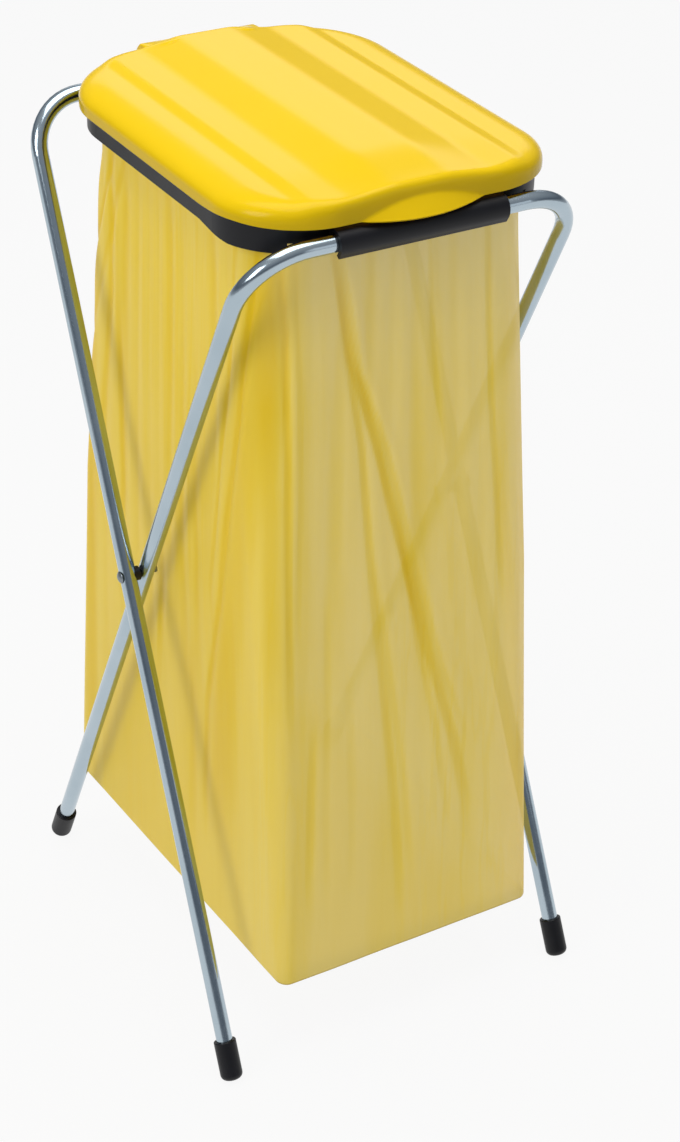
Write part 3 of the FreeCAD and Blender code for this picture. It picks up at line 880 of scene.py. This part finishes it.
# the thin film hangs a little lower than the plain box of the bag
BOTTOM_SAG = 5.0
SACK_BOTTOM = sack_low[2] - BOTTOM_SAG
WAIST_Z = 480.0
TOP_SIZE = (140.9, -169.1, 169.6, 55.6, 60.6)
WAIST_SIZE = (147.0, -192.0, 192.0, 28.0, 28.0)
SACK_HALF, SACK_FRONT, SACK_REAR = sack_high[0], sack_low[1], sack_high[1]
BOTTOM_SIZE = (SACK_HALF, SACK_FRONT, SACK_REAR, 13.0, 9.0)
FOLD_OUT = 4.4
ASKEW_FROM_Z = WAIST_Z + 120.0
ASKEW_RIGHT = 4.0
ASKEW_RIGHT_AT_LEFT = 9.0
ASKEW_FORWARD = 2.5


def blend_sizes(first, second, part):
    return tuple(a + (b - a) * part for a, b in zip(first, second))


def sack_size(z):
    """Half width, front, rear and corner radii of the sack at a height."""
    if z > WAIST_Z:
        part = (SHELF_BOTTOM - z) / (SHELF_BOTTOM - WAIST_Z)
        return blend_sizes(TOP_SIZE, WAIST_SIZE, max(part, 0.0))
    part = (WAIST_Z - z) / (WAIST_Z - SACK_BOTTOM)
    return blend_sizes(WAIST_SIZE, BOTTOM_SIZE, min(part, 1.0))


def grown(size, by):
    half, front, rear, front_corner, rear_corner = size
    return (half + by, front - by, rear + by, front_corner + by, rear_corner + by)


def set_askew(points, z):
    """The bottom hangs a little askew: its front edge lies further to the right than its rear edge."""
    x, y = points.T
    low = float(smooth_step(ASKEW_FROM_Z, SACK_BOTTOM, z))
    front = (SACK_REAR - y) / (SACK_REAR - SACK_FRONT)
    left = 0.5 - x / (2 * SACK_HALF)
    right_by = low * front * (ASKEW_RIGHT + ASKEW_RIGHT_AT_LEFT * left)
    return np.column_stack([x + right_by, y - low * front * left * ASKEW_FORWARD])


def around_front(x, _):
    """Distance along the film from the front's middle to a place x on the front, at any height."""
    return x


def around_left(y, z):
    """The same for a place y on the left side at a height z, as a negative distance."""
    half, front, _, corner, _ = sack_size(z)
    return -(half - corner + QUARTER * corner + (y - front - corner))


# %% [markdown]
# The creases that show were measured on the picture and are written here as real places: on the front by
# their distance from the middle, on the left side by their distance from the stand's centre. The other
# sides get creases from a fixed seed. Tones are broad strips along the sack's corners and edges where only the film's
# colour is deeper, with no relief; the widest, over the whole left side, is painted shade.

# %% Creases
FRONT, LEFT = around_front, around_left
CREASES = [
    # where, places (along, height), half width, depth
    (FRONT, [(-72, 850), (-53, 733), (-29, 651), (8, 499), (26, 420), (55, 310), (68, 236)],
     3.8, 3.2),
    (FRONT, [(-66, 850), (-45, 720), (-18, 640), (18, 490), (40, 400), (66, 320)], 2.6, 1.6),
    (FRONT, [(-4, 560), (14, 440), (34, 330), (44, 240)], 2.6, 1.6),
    (FRONT, [(-60, 760), (-43, 645), (-32, 490), (-23, 380), (-15, 288), (-10, 150)], 3.2, 2.1),
    (FRONT, [(-30, 520), (-16, 400), (-4, 290), (2, 180)], 2.6, 1.4),
    (FRONT, [(84, 850), (88, 740), (93, 660), (102, 557), (108, 470)], 3.0, 1.7),
    (FRONT, [(-119, 850), (-116, 757), (-117, 635), (-120, 520), (-124, 400)], 3.0, 2.4),
    (FRONT, [(-106, 850), (-104, 720), (-106, 600), (-112, 480)], 2.4, 0.8),
    (FRONT, [(-100, 380), (-108, 290), (-114, 200)], 2.8, 2.2),
    (FRONT, [(-80, 520), (-84, 400), (-92, 280), (-96, 180)], 2.6, 0.9),
    (FRONT, [(-60, 420), (-62, 300), (-66, 180)], 2.8, 0.7),
    (FRONT, [(24, 850), (30, 740), (40, 640)], 2.6, 0.8),
    (LEFT, [(-156, 860), (-146, 769), (-138, 679), (-120, 569), (-108, 478), (-77, 348), (-68, 223)],
     3.6, 2.6),
    (LEFT, [(-128, 860), (-122, 740), (-104, 600), (-88, 480)], 3.0, 1.8),
    (LEFT, [(109, 850), (112, 700), (128, 590), (138, 480)], 4.5, 1.6),
    (LEFT, [(96, 700), (91, 504), (100, 380)], 4.0, 1.8),
    (LEFT, [(5, 480), (14, 400), (24, 320)], 4.0, 1.8),
    (LEFT, [(-50, 420), (-46, 300), (-40, 180)], 4.5, 1.6),
]
TONES = [
    # where, places, half width, strength
    (LEFT, [(-168, 860), (-156, 700), (-132, 520), (-112, 380), (-98, 230)], 24.0, 0.55),
    (LEFT, [(158, 860), (160, 500), (182, 110)], 13.0, 0.75),
    # painted shade: a deeper colour over the whole left side
    (LEFT, [(10, 870), (10, 60)], 170.0, 0.62),
    (FRONT, [(146, 860), (148, 480), (150, 110)], 7.0, 0.2),
    (FRONT, [(-132, 860), (-134, 600), (-140, 420)], 9.0, 0.35),
]


# %% Creases of the sides that don't show
def add_more_creases(seed, count):
    """Creases for the sides that the picture doesn't show, from a fixed seed."""
    random = np.random.default_rng(seed)
    made = []
    for _ in range(count):
        start = random.uniform(190, 800)
        drift = random.uniform(-45, 45)
        top = random.choice([850, 850, random.uniform(450, 750)])
        bottom = max(top - random.uniform(250, 600), 130)
        bend = random.uniform(-8, 8)
        middle_z = (top + bottom) / 2
        places = [(start, top), (start + drift / 2 + bend, middle_z), (start + drift, bottom)]
        made.append((FRONT, places, random.uniform(2.6, 5), random.uniform(1.0, 3.0)))
    return made


CREASES += add_more_creases(7, 20)
print("creases", len(CREASES))


# %% Crease field
FADE = 70
STARTS_AT_RING = 840


def line_reach(where, places, distance, total, z):
    """Distance of each point from a line on the film, and how strongly the line shows here."""
    heights = np.array([p[1] for p in places], dtype=float)
    along = np.array([where(p[0], p[1]) for p in places], dtype=float)
    centre = np.interp(-z, -heights, along)
    shown = float(smooth_step(heights[-1] - FADE, heights[-1] + FADE, z))
    if heights[0] < STARTS_AT_RING:
        shown *= float(smooth_step(heights[0] + 30, heights[0] - FADE, z))
    return (distance - centre + total / 2) % total - total / 2, shown


def crease_and_shade_field(distance, total, z):
    """How far each crease presses the film in, and how strongly each point is coloured by creases and tones, the
    widest tone being painted shade.
    """
    press = np.zeros_like(distance)
    tint = np.zeros_like(distance)
    weaker = 0.65 + 0.35 * float(smooth_step(300, 650, z))
    for where, places, half_width, depth in CREASES:
        off, shown = line_reach(where, places, distance, total, z)
        shown *= weaker
        if shown > 0:
            spread = half_width * (1 + 0.9 * (850 - z) / 750)
            valley = np.exp(-(off / spread) ** 2)
            shoulder = np.exp(-((off - 2.6 * spread) / (1.7 * spread)) ** 2)
            press += shown * depth * (valley - 0.5 * shoulder)
            near = smooth_step(1.35 * spread, 0.5 * spread, np.abs(off))
            tint += shown * min(depth / 3.6, 1.0) * near
    for where, places, half_width, strength in TONES:
        off, shown = line_reach(where, places, distance, total, z)
        tint += shown * strength * smooth_step(1.6 * half_width, 0.3 * half_width, np.abs(off))
    return press, tint


# %% [markdown]
# Between the creases the film has pleats: near the ring they are close together, and lower down they run
# into each other. They are a sum of a few waves of different length, each with its own drift.

# %% Pleats
random = np.random.default_rng(21)
WAVES = [
    # waves round the sack, phase, drift down the sack, size
    (
        int(random.integers(9, 60)),
        random.uniform(0, 6.28),
        random.uniform(-2.2, 2.2),
        random.uniform(0.25, 0.7),
    )
    for _ in range(16)
]


def pleats(turn_share, z):
    """Shallow folds as a function of the place round the sack, from 0 to 1, and the height."""
    down = (MOUTH_TOP - z) / (MOUTH_TOP - SACK_BOTTOM)
    total = np.zeros_like(turn_share)
    for number, phase, drift, size in WAVES:
        fade = 1.0 if number < 24 else max(0.0, 1.1 - 1.1 * down)
        total += size * fade * np.sin(2 * math.pi * number * turn_share + phase + drift * down * 3)
    return total


def press_in(points, amount):
    """Moves outline points towards the inside by an amount at each point."""
    before = np.roll(points, 1, axis=0)
    after = np.roll(points, -1, axis=0)
    along = after - before
    length = np.linalg.norm(along, axis=1)
    outward = np.column_stack([along[:, 1], -along[:, 0]]) / length[:, None]
    return points - outward * amount[:, None]


# %% [markdown]
# The mouth runs from the hem outside the collar, over its top and down to the ring's shelf. It is smooth,
# because the collar stretches it.

# %% Sack mouth
def film_piece(name, levels, crease_and_shade_values, close_bottom):
    """A film mesh from levels that run downwards, with the crease and painted shade value of each point."""
    mesh = new_mesh(name, *stack_faces(levels[::-1]))
    values = np.concatenate(crease_and_shade_values[::-1])
    if close_bottom:
        fan = bmesh.new()
        fan.from_mesh(mesh)
        centre = fan.verts.new((0, 0, SACK_BOTTOM * MM))
        fan.verts.ensure_lookup_table()
        for i in range(SACK_COUNT):
            fan.faces.new((fan.verts[(i + 1) % SACK_COUNT], fan.verts[i], centre))
        fan.to_mesh(mesh)
        fan.free()
        values = np.append(values, crease_and_shade_values[-1][0])
    attribute = mesh.attributes.new("crease", "FLOAT", "POINT")
    attribute.data.foreach_set("value", values.astype(np.float32))
    piece = add_object(name, mesh, film)
    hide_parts("bag")
    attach(piece, "ring")
    print(name, "faces", len(mesh.polygons))
    return piece


MOUTH_LEVELS = [
    # how far outside the collar's inner face, height
    (FOLD_OUT, HEM_BOTTOM),
    (FOLD_OUT, (HEM_BOTTOM + COLLAR_TOP) / 2),
    (FOLD_OUT, MOUTH_TOP - 1.2),
    (FOLD_OUT - 1.0, MOUTH_TOP - 0.2),
    (1.0, MOUTH_TOP - 0.2),
    (0.0, MOUTH_TOP - 1.2),
    (0.0, (MOUTH_TOP + SHELF_BOTTOM) / 2),
    (0.0, SHELF_BOTTOM),
]
levels = []
for out, z in MOUTH_LEVELS:
    points, _ = rounded_outline(grown(TOP_SIZE, out), SACK_COUNT)
    levels.append(with_height(points, np.full(SACK_COUNT, z)))
mouth_creased = [np.full(SACK_COUNT, 0.25)] * len(levels)
mouth_piece = film_piece("sack_mouth", levels, mouth_creased, False)

# %% [markdown]
# The rest of the sack is one mesh: the creased wall, a small rounding at its lower edge, and a flat
# bottom that closes towards the middle.

# %% Sack mesh
FILM_ROWS = 146
EDGE_STEPS = 5
EDGE_ROUND = 3.0
BOTTOM_STEPS = 8
levels, crease_and_shade_values = [], []
for z in np.linspace(SHELF_BOTTOM, SACK_BOTTOM + EDGE_ROUND, FILM_ROWS):
    size = sack_size(z)
    points, total = rounded_outline(size, SACK_COUNT)
    distance = np.arange(SACK_COUNT) * total / SACK_COUNT
    freedom = float(smooth_step(SHELF_BOTTOM, SHELF_BOTTOM - 60, z))
    press, tint = crease_and_shade_field(distance, total, z)
    low_fade = 0.35 + 0.65 * float(smooth_step(SACK_BOTTOM, SACK_BOTTOM + 120, z))
    waves = pleats(np.arange(SACK_COUNT) / SACK_COUNT, z)
    amount = (press * 0.8 + waves * 0.45 * low_fade + 1.0) * freedom
    points = set_askew(press_in(points, amount), z)
    levels.append(with_height(points, np.full(SACK_COUNT, z)))
    crease_and_shade_values.append(np.clip(tint * 0.85 + 0.10 * np.maximum(waves, 0), 0, 1))
edge = levels[-1][:, :2]
for i in range(1, EDGE_STEPS + 1):
    angle = i / EDGE_STEPS * QUARTER
    points = press_in(edge, np.full(SACK_COUNT, EDGE_ROUND * (1 - math.cos(angle))))
    z = SACK_BOTTOM + EDGE_ROUND * (1 - math.sin(angle))
    levels.append(with_height(points, np.full(SACK_COUNT, z)))
    crease_and_shade_values.append(np.full(SACK_COUNT, 0.55))
bottom = levels[-1][:, :2]
for i in range(1, BOTTOM_STEPS):
    points = bottom * (1 - i / BOTTOM_STEPS)
    levels.append(with_height(points, np.full(SACK_COUNT, SACK_BOTTOM)))
    crease_and_shade_values.append(np.full(SACK_COUNT, 0.3))
sack_piece = film_piece("film_sack", levels, crease_and_shade_values, True)
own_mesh(sack_piece)

# %% [markdown]
# ## Floor, light and world
#
# The picture has a plain white ground. The floor is pale, and for the camera it is mostly white by
# itself, so that only a soft shadow is left.

# %% Floor
floor_material, s = new_material("pale_floor")
path = s.node("ShaderNodeLightPath")
camera_ray, glossy_ray, transmission_ray = path[0], path[3], path[6]
seen = camera_ray.maximum(glossy_ray).maximum(transmission_ray)
diffuse = s.node("ShaderNodeBsdfDiffuse", {"Color": colour("BCBCBA")})[0]
glow = s.node("ShaderNodeEmission", {"Color": (1.0, 1.0, 1.0, 1.0), "Strength": 1.0})[0]
mixed = s.node("ShaderNodeMixShader", {0: seen * 0.92, 1: diffuse, 2: glow})[0]
s.node("ShaderNodeOutputMaterial", {"Surface": mixed})
FLOOR_HALF = 6.0
corners = [(-FLOOR_HALF, -FLOOR_HALF, 0), (FLOOR_HALF, -FLOOR_HALF, 0)]
corners += [(FLOOR_HALF, FLOOR_HALF, 0), (-FLOOR_HALF, FLOOR_HALF, 0)]
floor_mesh = bpy.data.meshes.new("floor")
floor_mesh.from_pydata(corners, [], [(0, 1, 2, 3)])
floor = add_object("floor", floor_mesh, floor_material)


# %% [markdown]
# A large soft lamp above gives the lid its bright top. A second one on the left lights that side of the
# film, and a weak one in front keeps the tubes and the black plastic from going dark.


# %% Lamps
def soft_lamp(name, place, target, size, watts):
    """A square area lamp of a size in metres that looks at a target."""
    data = bpy.data.lights.new(name, "AREA")
    data.size = size
    data.energy = watts
    lamp = bpy.data.objects.new(name, data)
    lamp.location = place
    lamp.rotation_euler = (Vector(target) - Vector(place)).to_track_quat("-Z", "Y").to_euler()
    bpy.context.scene.collection.objects.link(lamp)


MIDDLE_OF_STAND = (0.0, 0.0, 0.5)
LAMPS = [
    # name, place, size, watts
    ("lamp_above", (0.0, 0.1, 3.0), 2.2, 44.0),
    ("lamp_left", (-2.8, -0.5, 2.3), 1.4, 35.0),
    ("lamp_front", (1.4, -2.8, 1.3), 1.2, 3.0),
]
for lamp_name, lamp_place, lamp_size, lamp_watts in LAMPS:
    soft_lamp(lamp_name, lamp_place, MIDDLE_OF_STAND, lamp_size, lamp_watts)
print("lamps", len(LAMPS))

# %% [markdown]
# The world is a grey room that is darker round the horizon, so that the tubes mirror a dark edge. One
# bright strip in it, behind the stand and to the right, is what the lid's flat top mirrors. The camera
# itself sees white.

# %% World
STRIP_SIDE = (0.502, 0.865, 0.0)
STRIP_NARROW = 0.87
STRIP_HEIGHT = 0.37
STRIP_HALF_HEIGHT = 0.13
STRIP_LIGHT = 1.9
ROOM_STRENGTH = 0.9
world = bpy.data.worlds.new("studio")
bpy.context.scene.world = world
s = Shader(world)
path = s.node("ShaderNodeLightPath")
direction = s.node("ShaderNodeTexCoord")[0]
height = s.node("ShaderNodeSeparateXYZ", {0: direction})[2]
room = s.ramp(height * 0.5 + 0.5, [
    (0.0, (0.70, 0.70, 0.70, 1)),
    (0.47, (0.45, 0.46, 0.48, 1)),
    (0.54, (0.12, 0.14, 0.17, 1)),
    (0.66, (0.30, 0.32, 0.35, 1)),
    (1.0, (0.60, 0.60, 0.60, 1)),
])
facing = s.node("ShaderNodeVectorMath", {0: direction, 1: STRIP_SIDE}, operation="DOT_PRODUCT")[1]
from_middle = (height - STRIP_HEIGHT).absolute()
strip = ((facing - STRIP_NARROW) * 25.0).clamp() * ((STRIP_HALF_HEIGHT - from_middle) * 16.0).clamp()
room = s.mix(strip, room, (STRIP_LIGHT, STRIP_LIGHT, STRIP_LIGHT, 1.0))
lit = s.node("ShaderNodeBackground", {"Color": room, "Strength": ROOM_STRENGTH})[0]
white = s.node("ShaderNodeBackground", {"Color": (1.0, 1.0, 1.0, 1.0), "Strength": 1.0})[0]
mixed = s.node("ShaderNodeMixShader", {0: path[0], 1: lit, 2: white})[0]
s.node("ShaderNodeOutputWorld", {"Surface": mixed})
bpy.context.scene.view_settings.view_transform = "Standard"
